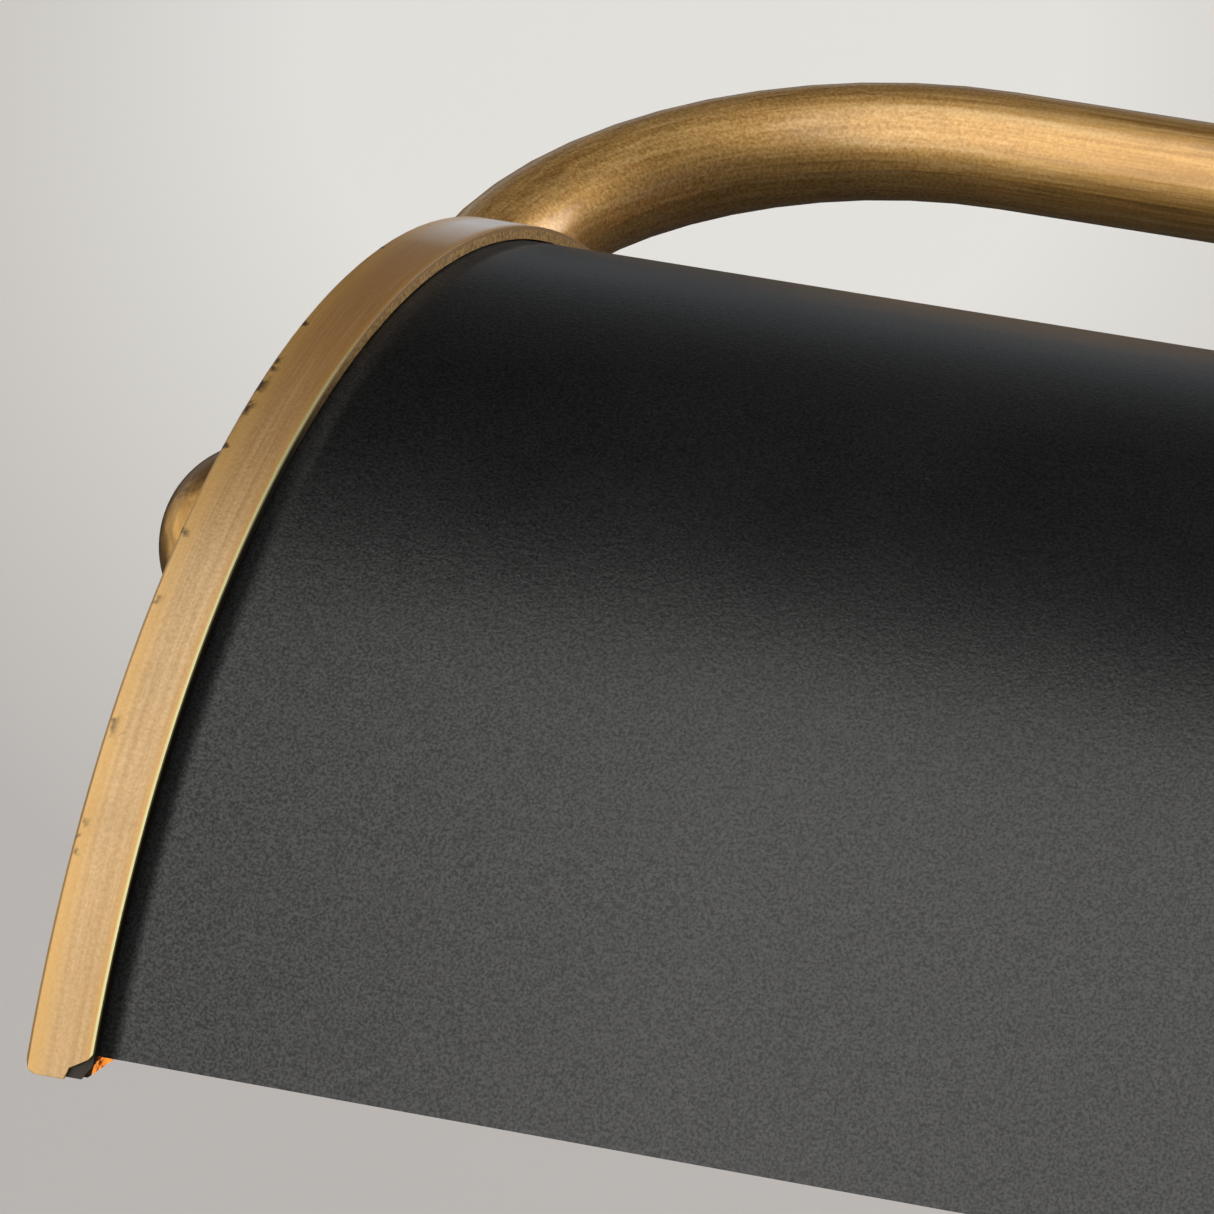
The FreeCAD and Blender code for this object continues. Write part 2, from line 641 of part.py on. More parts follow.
def lampholder():
    """The left small-screw lampholder: a ribbed barrel on a threaded stub and nut."""
    back = -HOLDER_FROM_CENTRE
    base = rod(11.0, lamp_point(back), lamp_point(back - 8))
    barrel = rod(13.0, lamp_point(back - 8), lamp_point(back - 28))
    stub = rod(5.0, lamp_point(back), lamp_point(back + 7))
    holder = base.fuse([barrel, stub])
    holder = holder.cut(rod(9.0, lamp_point(back - 6), lamp_point(back - 30)))
    holder = holder.cut(rod(3.0, lamp_point(back - 7), lamp_point(back + 8)))
    for groove in range(3):
        x = back - 12 - 4.5 * groove
        holder = holder.cut(ring(14.0, 12.4, lamp_point(x), lamp_point(x - 1.5)))
    return holder


def holder_nut():
    start = -HOLDER_FROM_CENTRE + 1.2
    nut = hexagon(14.0, lamp_point(start), lamp_point(start + 3))
    return nut.cut(rod(5.0, lamp_point(start - 1), lamp_point(start + 5)))


def lamp_cap():
    """The lamp's small screw cap, with its thread and centre contact."""
    back = -HOLDER_FROM_CENTRE - 6.4
    cap = rod(6.6, lamp_point(back - 4), lamp_point(back - 23))
    for turn in range(5):
        x = back - 5.5 - 2.8 * turn
        cap = cap.fuse(rod(7.0, lamp_point(x), lamp_point(x - 1.4)))
    contact = rod(2.4, lamp_point(back - 0.6), lamp_point(back - 3))
    collar = Part.makeCone(2.8, 6.6, 2.0, lamp_point(back - 2), V(-1, 0, 0))
    cap = cap.fuse([contact, collar])
    return cap.cut(rod(6.0, lamp_point(back - 8), lamp_point(back - 24)))


def lamp_glass():
    """A tubular glass bulb with a domed tip and a narrowed neck, open at the cap."""
    neck_x = -HOLDER_FROM_CENTRE - 6.4 - 15.0
    neck_radius = 5.9
    bulb_radius = 12.5
    shoulder_start = neck_x - 10
    shoulder_end = shoulder_start - 8
    dome_start = neck_x - 78
    wall = 0.8

    def half_section(inset):
        radius = bulb_radius - inset
        neck = neck_radius - inset
        tip_x = dome_start - radius
        shoulder_mid = V((shoulder_start + shoulder_end) / 2, (neck + radius) / 2, 0)
        edges = [
            Part.makeLine(V(neck_x, 0, 0), V(neck_x, neck, 0)),
            Part.makeLine(V(neck_x, neck, 0), V(shoulder_start, neck, 0)),
            Part.makeLine(V(shoulder_start, neck, 0), shoulder_mid),
            Part.makeLine(shoulder_mid, V(shoulder_end, radius, 0)),
            Part.makeLine(V(shoulder_end, radius, 0), V(dome_start, radius, 0)),
            Part.Arc(V(dome_start, radius, 0),
                     V(dome_start - radius * math.sin(math.radians(45)),
                       radius * math.cos(math.radians(45)), 0),
                     V(tip_x, 0, 0)).toShape(),
            Part.makeLine(V(tip_x, 0, 0), V(neck_x, 0, 0)),
        ]
        solid = Part.Face(Part.Wire(edges)).revolve(V(0, 0, 0), V(1, 0, 0), 360)
        solid.translate(V(0, ARC_Y, LAMP_Z))
        return solid

    mouth = rod(neck_radius - wall, lamp_point(neck_x + 1), lamp_point(neck_x - 3))
    return half_section(0).cut(half_section(wall)).cut(mouth)


def lamp_filament():
    """The lamp's inner stem and its four upright filament rods, tied at both ends."""
    neck_x = -HOLDER_FROM_CENTRE - 6.4 - 15.0
    stem = rod(2.4, lamp_point(neck_x - 1), lamp_point(neck_x - 22))
    post = rod(0.7, lamp_point(neck_x - 22), lamp_point(neck_x - 72))
    hub = rod(5.0, lamp_point(neck_x - 22), lamp_point(neck_x - 22.8))
    crown = rod(5.0, lamp_point(neck_x - 70), lamp_point(neck_x - 70.8))
    pieces = [post, hub, crown]
    for quarter in range(4):
        turn = math.radians(45 + 90 * quarter)
        offset = V(0, 4.0 * math.cos(turn), 4.0 * math.sin(turn))
        pieces.append(rod(0.9, lamp_point(neck_x - 22.8) + offset, lamp_point(neck_x - 70) + offset))
    return stem.fuse(pieces)


def build_lamps():
    save("lamp_rail", lamp_rail())
    save("rail_studs", rail_studs())
    save("rail_nuts", rail_nuts())
    save("bracket_screws", bracket_screws())
    pieces = {
        "holder_bracket": holder_bracket(),
        "lampholder": lampholder(),
        "holder_nut": holder_nut(),
        "lamp_cap": lamp_cap(),
        "lamp_glass": lamp_glass(),
        "lamp_filament": lamp_filament(),
    }
    for name, left_piece in pieces.items():
        save(name + "_left", left_piece)
        save(name + "_right", right_side(left_piece))


# ---- internal leads ----
def wire_route(side, turn_points):
    """One shade wire: out of the left nipple, then along one side of the rail."""
    run_z = RAIL_FLOOR_Z - 5.5
    beside = side * 9.9
    start = -HALF - 1.5
    return [
        V(start, PIVOT_Y + side * 1.2, PIVOT_Z),
        V(-HALF + 16, PIVOT_Y + side * 1.2, PIVOT_Z),
        V(-HALF + 30, ARC_Y + beside, run_z),
        V(turn_points[0], ARC_Y + beside, run_z),
        V(turn_points[1], ARC_Y, LAMP_Z),
        V(turn_points[2], ARC_Y, LAMP_Z),
    ]


def build_leads():
    """The feed through the arm and the left half of the yoke, and two wires in the shade."""
    middle = V(0, YOKE_Y, YOKE_Z)
    arm_lead = [V(0, -6, 0), V(0, YOKE_Y, 0), V(0, YOKE_Y, YOKE_Z - FEED_RADIUS)]
    save("arm_lead", swept_rod(arm_lead, ARM_BEND, FEED_RADIUS))
    yoke_lead = [middle - V(FEED_RADIUS + 0.1, 0, 0), V(-BALL_X, YOKE_Y, YOKE_Z),
                 pivot_axis_point(-BALL_X) + leg_direction() * 1.7]
    save("yoke_lead", swept_rod(yoke_lead, YOKE_BEND, FEED_RADIUS))
    holder_back = HOLDER_FROM_CENTRE - 7.0
    left_wire = wire_route(-1, (-8.0, -4.0, -holder_back - 2.0))
    right_wire = wire_route(1, (2.0, 14.0, holder_back + 2.0))
    wires = [swept_rod(route, 4.0, WIRE_RADIUS) for route in (left_wire, right_wire)]
    save("shade_wires", group(wires))


def main():
    os.makedirs("parts", exist_ok=True)
    build_shade()
    build_pivots()
    build_yoke()
    build_wall_mount()
    build_lamps()
    build_leads()


main()
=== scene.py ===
"""Looks of a picture light: an arched black shade with brass end rims in a bent brass yoke."""
import bmesh
import bpy
import json
import math
from mathutils import Matrix, Vector


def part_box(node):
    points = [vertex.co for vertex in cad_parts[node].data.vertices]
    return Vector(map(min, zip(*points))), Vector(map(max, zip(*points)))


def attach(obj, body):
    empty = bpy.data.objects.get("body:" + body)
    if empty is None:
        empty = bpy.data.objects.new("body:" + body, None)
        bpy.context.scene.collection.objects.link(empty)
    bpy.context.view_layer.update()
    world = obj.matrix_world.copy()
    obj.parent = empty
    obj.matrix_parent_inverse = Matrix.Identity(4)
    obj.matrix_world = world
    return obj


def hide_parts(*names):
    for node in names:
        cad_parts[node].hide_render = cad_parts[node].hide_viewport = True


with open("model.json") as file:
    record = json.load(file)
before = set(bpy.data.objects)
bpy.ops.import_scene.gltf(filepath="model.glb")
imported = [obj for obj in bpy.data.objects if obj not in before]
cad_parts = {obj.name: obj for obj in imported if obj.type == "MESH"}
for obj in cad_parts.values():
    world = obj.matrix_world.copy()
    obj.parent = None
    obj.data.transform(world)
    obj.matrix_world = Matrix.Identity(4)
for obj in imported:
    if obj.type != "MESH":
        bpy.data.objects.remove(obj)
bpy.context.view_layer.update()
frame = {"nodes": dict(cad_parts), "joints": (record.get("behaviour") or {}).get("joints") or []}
nodes = frame["nodes"]

# ---- sizes, metres ----
SHELL_RADIUS = 0.0707
SHELL_THICKNESS = 0.0009
RIM_RADIUS = 0.0719
RIM_WIDTH = 0.00545
TUBE_RADIUS = 0.005
YOKE_BEND = 0.03425
EDGE_ROUNDING = 0.0004
ROUNDING_SEGMENTS = 3
SHARP_EDGE = math.radians(40)
FLAT_EDGE = math.radians(0.3)
WELD_DISTANCE = 0.000001
FLOOR_DROP = 0.5
FLOOR_REACH = 30.0
GLOW_BELOW_LAMP = 0.012

# ---- places taken from the frame ----
shell_low, shell_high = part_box("shade_shell")
cap_low, cap_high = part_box("end_cap_left")
tube_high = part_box("yoke_tube")[1]
ARC_Y = (shell_low.y + shell_high.y) / 2
ARC_Z = cap_high.z - RIM_RADIUS
PIVOT = Vector(frame["joints"][0]["pos_m"])
ball_low, ball_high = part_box("pivot_ball_left")
ball_centre = (ball_low + ball_high) / 2
BALL_X = -ball_low.x - (ball_high.z - ball_low.z) / 2
RIM_INNER_X = -cap_low.x - RIM_WIDTH
BEND_X = tube_high.x - TUBE_RADIUS - YOKE_BEND
BEND_Y = tube_high.y - TUBE_RADIUS - YOKE_BEND

# ---- camera: in front of the shade's left end, from the right and above ----
CAMERA_AZIMUTH = math.radians(21.16)
CAMERA_ELEVATION = math.radians(25.89)
CAMERA_DISTANCE = 1.1997
CAMERA_LENS = 437.0
SENSOR_WIDTH = 36.0
AIM_RIGHT = 0.01676
AIM_UP = 0.04008

# ---- the pool of light painted on the floor, an oval that looks round from the camera: metres, then tones ----
POOL_AHEAD = 1.35
POOL_ASIDE = -0.252
POOL_BRIGHT_RADIUS = 0.070
POOL_EDGE_RADIUS = 0.178
PAINTED_LIGHT_POOL_PAPER = (0.678, 0.673, 0.655)
FAR_PAPER = (0.424, 0.406, 0.398)
PAPER_MOTTLE = 0.06
PAPER_GLOW = 0.34


def colour(red, green, blue):
    return (red, green, blue, 1.0)


# ---- node helpers ----
class Tree:
    """The node tree of a material or a world, with short calls for the nodes that are used here."""

    def __init__(self, owner):
        owner.use_nodes = True
        self.owner = owner
        self.tree = owner.node_tree
        self.shader = self.tree.nodes.get("Principled BSDF") or self.tree.nodes["Background"]

    def node(self, kind, **settings):
        made = self.tree.nodes.new(kind)
        for key, value in settings.items():
            setattr(made, key, value)
        return made

    def feed(self, socket, value):
        """Links a node's output to a socket, or sets the socket to a plain value."""
        if isinstance(value, bpy.types.NodeSocket):
            self.tree.links.new(value, socket)
        else:
            socket.default_value = value

    def math(self, operation, first, second=0.0):
        made = self.node("ShaderNodeMath", operation=operation)
        self.feed(made.inputs[0], first)
        self.feed(made.inputs[1], second)
        return made.outputs[0]

    def add(self, first, second):
        return self.math("ADD", first, second)

    def subtract(self, first, second):
        return self.math("SUBTRACT", first, second)

    def multiply(self, first, second):
        return self.math("MULTIPLY", first, second)

    def largest(self, first, *others):
        for other in others:
            first = self.math("MAXIMUM", first, other)
        return first

    def distance_out(self, value):
        """How far a coordinate is from zero, on either side."""
        return self.math("ABSOLUTE", value)

    def length(self, first, second):
        return self.math("SQRT", self.add(self.multiply(first, first), self.multiply(second, second)))

    def blend(self, share, first, second):
        """Mixes two numbers: share 0 gives the first and share 1 the second."""
        return self.add(self.multiply(first, self.subtract(1.0, share)), self.multiply(second, share))

    def place(self):
        """The position in the row frame, which turns with the body that the piece rides on."""
        return self.node("ShaderNodeTexCoord").outputs["Object"]

    def split(self, vector):
        made = self.node("ShaderNodeSeparateXYZ")
        self.feed(made.inputs[0], vector)
        return made.outputs

    def position(self):
        return self.split(self.place())

    def vector(self, x, y, z):
        made = self.node("ShaderNodeCombineXYZ")
        for socket, value in zip(made.inputs, (x, y, z)):
            self.feed(socket, value)
        return made.outputs[0]

    def noise(self, place, scale, detail=2.0, roughness=0.5, distortion=0.0):
        made = self.node("ShaderNodeTexNoise")
        self.feed(made.inputs["Vector"], place)
        made.inputs["Scale"].default_value = scale
        made.inputs["Detail"].default_value = detail
        made.inputs["Roughness"].default_value = roughness
        made.inputs["Distortion"].default_value = distortion
        return made.outputs["Fac"]

    def spread(self, value, low, high, to_low=0.0, to_high=1.0):
        """Maps low..high to to_low..to_high, held at both ends."""
        made = self.node("ShaderNodeMapRange", clamp=True)
        self.feed(made.inputs["Value"], value)
        for socket, number in zip(list(made.inputs)[1:5], (low, high, to_low, to_high)):
            self.feed(socket, number)
        return made.outputs[0]

    def ramp(self, value, stops):
        """A colour ramp; each stop is (position, colour)."""
        made = self.node("ShaderNodeValToRGB")
        elements = made.color_ramp.elements
        while len(elements) < len(stops):
            elements.new(0.5)
        for element, (place, tone) in zip(elements, stops):
            element.position = place
            element.color = colour(*tone)
        self.feed(made.inputs[0], value)
        return made.outputs[0]

    def mix(self, share, first, second):
        """Mixes two colours: share 0 gives the first and share 1 the second."""
        made = self.node("ShaderNodeMix", data_type="RGBA")
        self.feed(made.inputs[0], share)
        self.feed(made.inputs[6], first)
        self.feed(made.inputs[7], second)
        return made.outputs[2]

    def bump(self, height, distance, strength):
        made = self.node("ShaderNodeBump")
        made.inputs["Strength"].default_value = strength
        made.inputs["Distance"].default_value = distance
        self.feed(made.inputs["Height"], height)
        return made.outputs[0]

    def surface(self, **inputs):
        """Sets the shader's inputs; a name's underscores stand for spaces."""
        for key, value in inputs.items():
            self.feed(self.shader.inputs[key.replace("_", " ")], value)


def new_material(name):
    return Tree(bpy.data.materials.new(name))


def from_arc_axis(tree, y, z):
    """Distance from the axis of the shade's arc."""
    return tree.length(tree.subtract(y, ARC_Y), tree.subtract(z, ARC_Z))


# ---- brush lines, on several shapes ----
def rim_grain(tree, stretch):
    """Brush lines that run along the rim's arc, and round the plate."""
    x, y, z = tree.position()
    across = tree.add(tree.distance_out(x), from_arc_axis(tree, y, z))
    return tree.vector(tree.multiply(across, stretch), y, z)


def tube_grain(tree, stretch):
    """Brush lines that run along the tube, round the yoke's bends too."""
    x, y, z = tree.position()
    past_x = tree.largest(tree.subtract(tree.distance_out(x), BEND_X), 0.0)
    past_y = tree.largest(tree.subtract(y, BEND_Y), 0.0)
    from_bend = tree.length(past_x, past_y)
    along = tree.subtract(tree.distance_out(x), y)
    return tree.vector(tree.multiply(from_bend, stretch), tree.multiply(z, stretch), along)


def upright_grain(tree, stretch):
    """Brush lines along the arm: out of the wall, then upward."""
    x, y, z = tree.position()
    along = tree.subtract(z, y)
    across = tree.add(y, z)
    return tree.vector(tree.multiply(x, stretch), tree.multiply(across, stretch), along)


def spun_grain(tree, stretch):
    """Fine rings round the wall cover's axis, on its face and its side."""
    x, y, z = tree.position()
    side_ring_pitch = 1.7
    across = tree.add(tree.length(x, z), tree.multiply(y, side_ring_pitch))
    return tree.vector(tree.multiply(across, stretch), x, z)


def turned_grain(tree, stretch):
    """Rings round a piece that was turned about the X axis."""
    x, y, z = tree.position()
    return tree.vector(tree.multiply(x, stretch), y, z)


# ---- aged brass ----
BRASS_TONES = ((0.400, 0.235, 0.080), (0.530, 0.330, 0.130), (0.680, 0.460, 0.220))
TUBE_TONES = ((0.590, 0.310, 0.080), (0.840, 0.495, 0.150), (1.000, 0.700, 0.310))
RIM_TONES = ((0.512, 0.315, 0.128), (0.645, 0.418, 0.196), (0.784, 0.535, 0.277))
BALL_TONES = ((0.220, 0.105, 0.030), (0.560, 0.300, 0.090), (0.850, 0.540, 0.200))
PATINA = colour(0.185, 0.100, 0.038)
TONE_STOPS = (0.38, 0.5, 0.62)
COARSE_STREAKS = 30.0
FINE_STREAKS = 110.0
BRASS_GRIT = 3400.0
PATCHES = 75.0
BRUSH_DEPTH = 0.00004
LACQUER_ROUGHNESS = 0.22
DULL_METALLIC = 0.1


def aged_brass(name, grain, tones, stretch=60.0, roughness=0.45, metallic=0.8, tarnish=0.5, sand=0.2,
               lacquer=0.5, gloss=1.5, wear=None):
    """Antique brass: brushed, darkened in patches, with a sand-fine grain under a satin lacquer."""
    tree = new_material(name)
    place = tree.place()
    lines = grain(tree, stretch)
    coarse = tree.noise(lines, COARSE_STREAKS, 3.0, 0.6)
    fine = tree.noise(lines, FINE_STREAKS, 2.0, 0.6)
    grit = tree.noise(place, BRASS_GRIT, 2.0, 0.6)
    patches = tree.noise(place, PATCHES, 4.0, 0.6, 0.6)
    sandy = sand(tree) if callable(sand) else sand
    tone = tree.blend(sandy, tree.blend(0.4, coarse, fine), grit)
    metal = tree.ramp(tone, list(zip(TONE_STOPS, tones)))
    dark = tree.spread(patches, 0.50, 0.74, 0.0, tarnish)
    base = tree.mix(dark, metal, PATINA)
    share = metallic
    coat = lacquer
    # wear, when given, also paints light and shade into the colour
    if wear is not None:
        base, share, coat = wear(tree, base, metallic, lacquer)
    satin = tree.spread(fine, 0.3, 0.7, roughness - 0.05, roughness + 0.05)
    height = tree.add(tone, tree.multiply(grit, 0.4))
    tree.surface(Base_Color=base, Roughness=tree.add(satin, tree.multiply(dark, 0.12)), Metallic=share,
                 Normal=tree.bump(height, BRUSH_DEPTH, 0.5))
    tree.surface(Coat_Weight=coat, Coat_Roughness=LACQUER_ROUGHNESS, Coat_IOR=gloss)
    return tree.owner


# ---- the yoke: brushed on the straight, sand-satin round the bends and along the legs ----
STRAIGHT_SAND = 0.20
LEG_SAND = 0.50
SAND_CHANGE = 0.012


def tube_sand(tree):
    """How sandy the yoke is: it changes over a short length where each bend begins."""
    outward = tree.distance_out(tree.position()["X"])
    return tree.spread(outward, BEND_X - SAND_CHANGE, BEND_X + SAND_CHANGE, STRAIGHT_SAND, LEG_SAND)


# ---- the ball ends: dark brown that stands partly for painted shade, and a painted highlight in gold on the outer front side ----
HIGHLIGHT_TOWARD = (0.49, 0.74, 0.46)
HIGHLIGHT_FROM = 0.0079
HIGHLIGHT_FULL = 0.0093
HIGHLIGHT_RAGGEDNESS = 0.0018
SWIRL_SCALE = 260.0
PAINTED_HIGHLIGHT_GOLD = colour(1.0, 0.560, 0.160)
BALL_BROWN_AND_SHADE = colour(0.120, 0.062, 0.026)
GRAIN_SHOWS = 0.35


def ball_highlight_and_shade(tree, base, metallic, lacquer):
    """A ragged painted highlight in gold on the side that faces outward, forward and up; dark brown, partly
    painted shade, elsewhere.
    """
    x, y, z = tree.position()
    outward = tree.subtract(tree.distance_out(x), BALL_X)
    forward = tree.subtract(ball_centre.y, y)
    upward = tree.subtract(z, ball_centre.z)
    level = tree.add(tree.multiply(outward, HIGHLIGHT_TOWARD[0]), tree.multiply(forward, HIGHLIGHT_TOWARD[1]))
    toward = tree.add(level, tree.multiply(upward, HIGHLIGHT_TOWARD[2]))
    swirl = tree.multiply(tree.noise(tree.place(), SWIRL_SCALE, 3.0, 0.6, 2.0), HIGHLIGHT_RAGGEDNESS)
    # painted highlight: the gold patch; the dark brown round it stands partly for shade
    highlit = tree.spread(tree.add(toward, swirl), HIGHLIGHT_FROM, HIGHLIGHT_FULL)
    gold = tree.mix(GRAIN_SHOWS, PAINTED_HIGHLIGHT_GOLD, base)
    brown = tree.mix(GRAIN_SHOWS, BALL_BROWN_AND_SHADE, base)
    share = tree.spread(highlit, 0.0, 1.0, metallic, DULL_METALLIC)
    return tree.mix(highlit, brown, gold), share, lacquer


# ---- the rims: where their wear, painted light and painted shade begin and end, metres ----
FRONT_BEGINS = (0.006, 0.022)
SHADED_TOP = (0.008, 0.036)
REFLECTION_BEHIND = (0.012, 0.023)
DULL_LOW_END = (0.006, 0.030)
ORANGE_LOW_END = (0.004, 0.009)
WARM_STRIP = (0.0009, 0.0021)
NICKED_STRIP = (0.0004, 0.0011)
NICKED_DEPTH = (0.0006, 0.0012)
ORANGE_LINE = (0.0004, 0.0009)
CORNER_HIGHLIGHT_WIDTH = (0.00016, 0.00032)
WALL_DEPTH = (0.00026, 0.00034)
PLATE_FINISH_DEPTH = 0.0015

# ---- the rims: the scales of their wear, painted light and painted shade, how much of them shows, and their colours ----
NICK_SCALE = 330.0
NICK_SHARE = (0.61, 0.66)
SCUFF_SCALE = 900.0
SCUFF_SHARE = (0.68, 0.74)
WALL_GRIT = 3000.0
LAMPLIGHT_MOTTLE = 1100.0
REFLECTION_WHITE = colour(0.960, 0.930, 0.940)
SHADED_TOP_BROWN = colour(0.560, 0.275, 0.085)
LOW_END_BROWN = colour(0.430, 0.260, 0.095)
WARM_BRASS = colour(0.760, 0.450, 0.130)
NICK_BROWN = colour(0.060, 0.032, 0.014)
SCUFF_BROWN = colour(0.230, 0.130, 0.055)
ORANGE_BRASS = colour(0.660, 0.350, 0.090)
SHADED_TOP_CORNER = colour(0.400, 0.230, 0.090)
PAINTED_CORNER_HIGHLIGHT = colour(0.740, 0.670, 0.330)
WALL_SHADOW = colour(0.026, 0.016, 0.006)
WALL_BROWNS = [(0.38, (0.300, 0.160, 0.045)), (0.62, (0.640, 0.390, 0.130))]
LAMPLIT_ORANGES = [
    (0.36, (0.160, 0.050, 0.010)),
    (0.48, (0.900, 0.360, 0.050)),
    (0.60, (1.0, 0.520, 0.090)),
]


def rim_face(tree, base, behind, z, painted_reflection):
    """The rim's outer face: duller at its low ends, browner over the top as painted shade, and a painted
    reflection as pale haze behind the top.
    """
    low_end = tree.spread(tree.subtract(z, cap_low.z), *DULL_LOW_END, 0.42, 0.0)
    # painted shade: browner over the top, where less light falls
    over_top = tree.spread(tree.distance_out(behind), *SHADED_TOP, 0.75, 0.0)
    worn = tree.mix(low_end, base, LOW_END_BROWN)
    aged = tree.mix(over_top, worn, SHADED_TOP_BROWN)
    return tree.mix(painted_reflection, aged, REFLECTION_WHITE)


def rim_marks(tree, face, radius, outer_gap, near_gap):
    """A warm strip with nicks by the outer corner, scuffs, and an orange line by the near corner."""
    place = tree.place()
    striped = tree.mix(tree.spread(outer_gap, *WARM_STRIP, 0.55, 0.0), face, WARM_BRASS)
    at_edge = tree.spread(tree.subtract(RIM_RADIUS, radius), *NICKED_DEPTH, 1.0, 0.0)
    outer_corner = tree.multiply(tree.spread(outer_gap, *NICKED_STRIP, 1.0, 0.0), at_edge)
    spots = tree.noise(place, NICK_SCALE, 3.0, 0.55)
    nicked = tree.multiply(outer_corner, tree.spread(spots, *NICK_SHARE, 0.0, 0.9))
    chipped = tree.mix(nicked, striped, NICK_BROWN)
    scuffs = tree.noise(place, SCUFF_SCALE, 4.0, 0.7, 1.5)
    scuffed = tree.mix(tree.spread(scuffs, *SCUFF_SHARE, 0.0, 0.5), chipped, SCUFF_BROWN)
    return tree.mix(tree.spread(near_gap, *ORANGE_LINE, 0.6, 0.0), scuffed, ORANGE_BRASS)


def rim_wear_and_light(tree, base, metallic, lacquer):
    """The rim's wear, with painted light and shade: a painted reflection behind the top, a painted highlight
    on the near corner, a dark wall of painted shade, and painted lamplight at the low ends.
    """
    x, y, z = tree.position()
    place = tree.place()
    outward = tree.distance_out(x)
    behind = tree.subtract(y, ARC_Y)
    radius = from_arc_axis(tree, y, z)
    outer_gap = tree.subtract(-cap_low.x, outward)
    near_gap = tree.subtract(outward, RIM_INNER_X)
    in_front = tree.spread(tree.subtract(ARC_Y, y), *FRONT_BEGINS)
    outer_face = tree.math("GREATER_THAN", radius, RIM_RADIUS - EDGE_ROUNDING)
    inner_side = tree.math("LESS_THAN", near_gap, RIM_WIDTH - PLATE_FINISH_DEPTH)

    # painted reflection: a pale haze on the outer face behind the top
    painted_reflection = tree.multiply(tree.spread(behind, *REFLECTION_BEHIND, 0.0, 0.95), outer_face)
    marked = rim_marks(tree, rim_face(tree, base, behind, z, painted_reflection), radius, outer_gap, near_gap)

    # painted highlight along the near corner in front; painted shade on that corner over the top
    corner = tree.multiply(tree.spread(near_gap, *CORNER_HIGHLIGHT_WIDTH, 1.0, 0.0), outer_face)
    highlit = tree.mix(corner, marked, tree.mix(in_front, SHADED_TOP_CORNER, PAINTED_CORNER_HIGHLIGHT))
    shaded_top_corner = tree.multiply(corner, tree.subtract(1.0, in_front))

    # painted shade: the rim's wall beside the shade is dark in front and grainy brown over the top
    below_face = tree.spread(tree.subtract(RIM_RADIUS, radius), *WALL_DEPTH)
    outside_shell = tree.math("GREATER_THAN", radius, SHELL_RADIUS)
    wall = tree.multiply(tree.multiply(below_face, outside_shell), inner_side)
    brown = tree.ramp(tree.noise(place, WALL_GRIT, 2.0, 0.6), WALL_BROWNS)
    shadowed = tree.mix(wall, highlit, tree.mix(in_front, brown, WALL_SHADOW))

    # painted lamplight: orange on the inner side at the low ends
    within_shell = tree.multiply(tree.math("LESS_THAN", radius, SHELL_RADIUS), inner_side)
    low_end = tree.spread(tree.subtract(z, cap_low.z), *ORANGE_LOW_END, 1.0, 0.0)
    lamplit = tree.multiply(within_shell, low_end)
    orange = tree.ramp(tree.noise(place, LAMPLIGHT_MOTTLE, 2.0, 0.6), LAMPLIT_ORANGES)

    # where light or shade is painted, the brass is less metallic and has no lacquer
    dull = tree.largest(wall, lamplit, shaded_top_corner, tree.multiply(painted_reflection, 0.7))
    share = tree.spread(dull, 0.0, 1.0, metallic, DULL_METALLIC)
    coat = tree.spread(dull, 0.0, 1.0, lacquer, 0.0)
    return tree.mix(lamplit, shadowed, orange), share, coat


def turned_brass():
    tree = new_material("turned_brass_bright")
    rings = tree.noise(turned_grain(tree, 60.0), 90.0, 3.0, 0.6)
    base = tree.ramp(rings, [(0.3, (0.46, 0.32, 0.13)), (0.7, (0.72, 0.54, 0.27))])
    roughness = tree.spread(rings, 0.3, 0.7, 0.22, 0.34)
    tree.surface(Base_Color=base, Roughness=roughness, Metallic=1.0, Normal=tree.bump(rings, 0.00003, 0.5))
    return tree.owner


# ---- the shade's paint ----
PAINT_GRAIN = 4200.0
PAINT_PITS = 2300.0
PAINT_CLOUDS = 60.0
PAINT_SPECKS = 700.0
PAINT_DEPTH = 0.00006
PAINT_BLACKS = [(0.35, (0.0035, 0.0035, 0.0037)), (0.65, (0.0120, 0.0118, 0.0116))]
PAINT_WHITES = [(0.3, (0.70, 0.68, 0.63)), (0.7, (0.78, 0.765, 0.72))]
PAINT_DUST = colour(0.045, 0.044, 0.042)
RIM_SHADOW_BLACK = colour(0.0012, 0.0010, 0.0010)
RIM_SHADOW_WIDTH = (0.0010, 0.0020)
RIM_SHADOW_FADES = (0.006, 0.030)
DARKER_NEAR_RIMS = (0.004, 0.045)


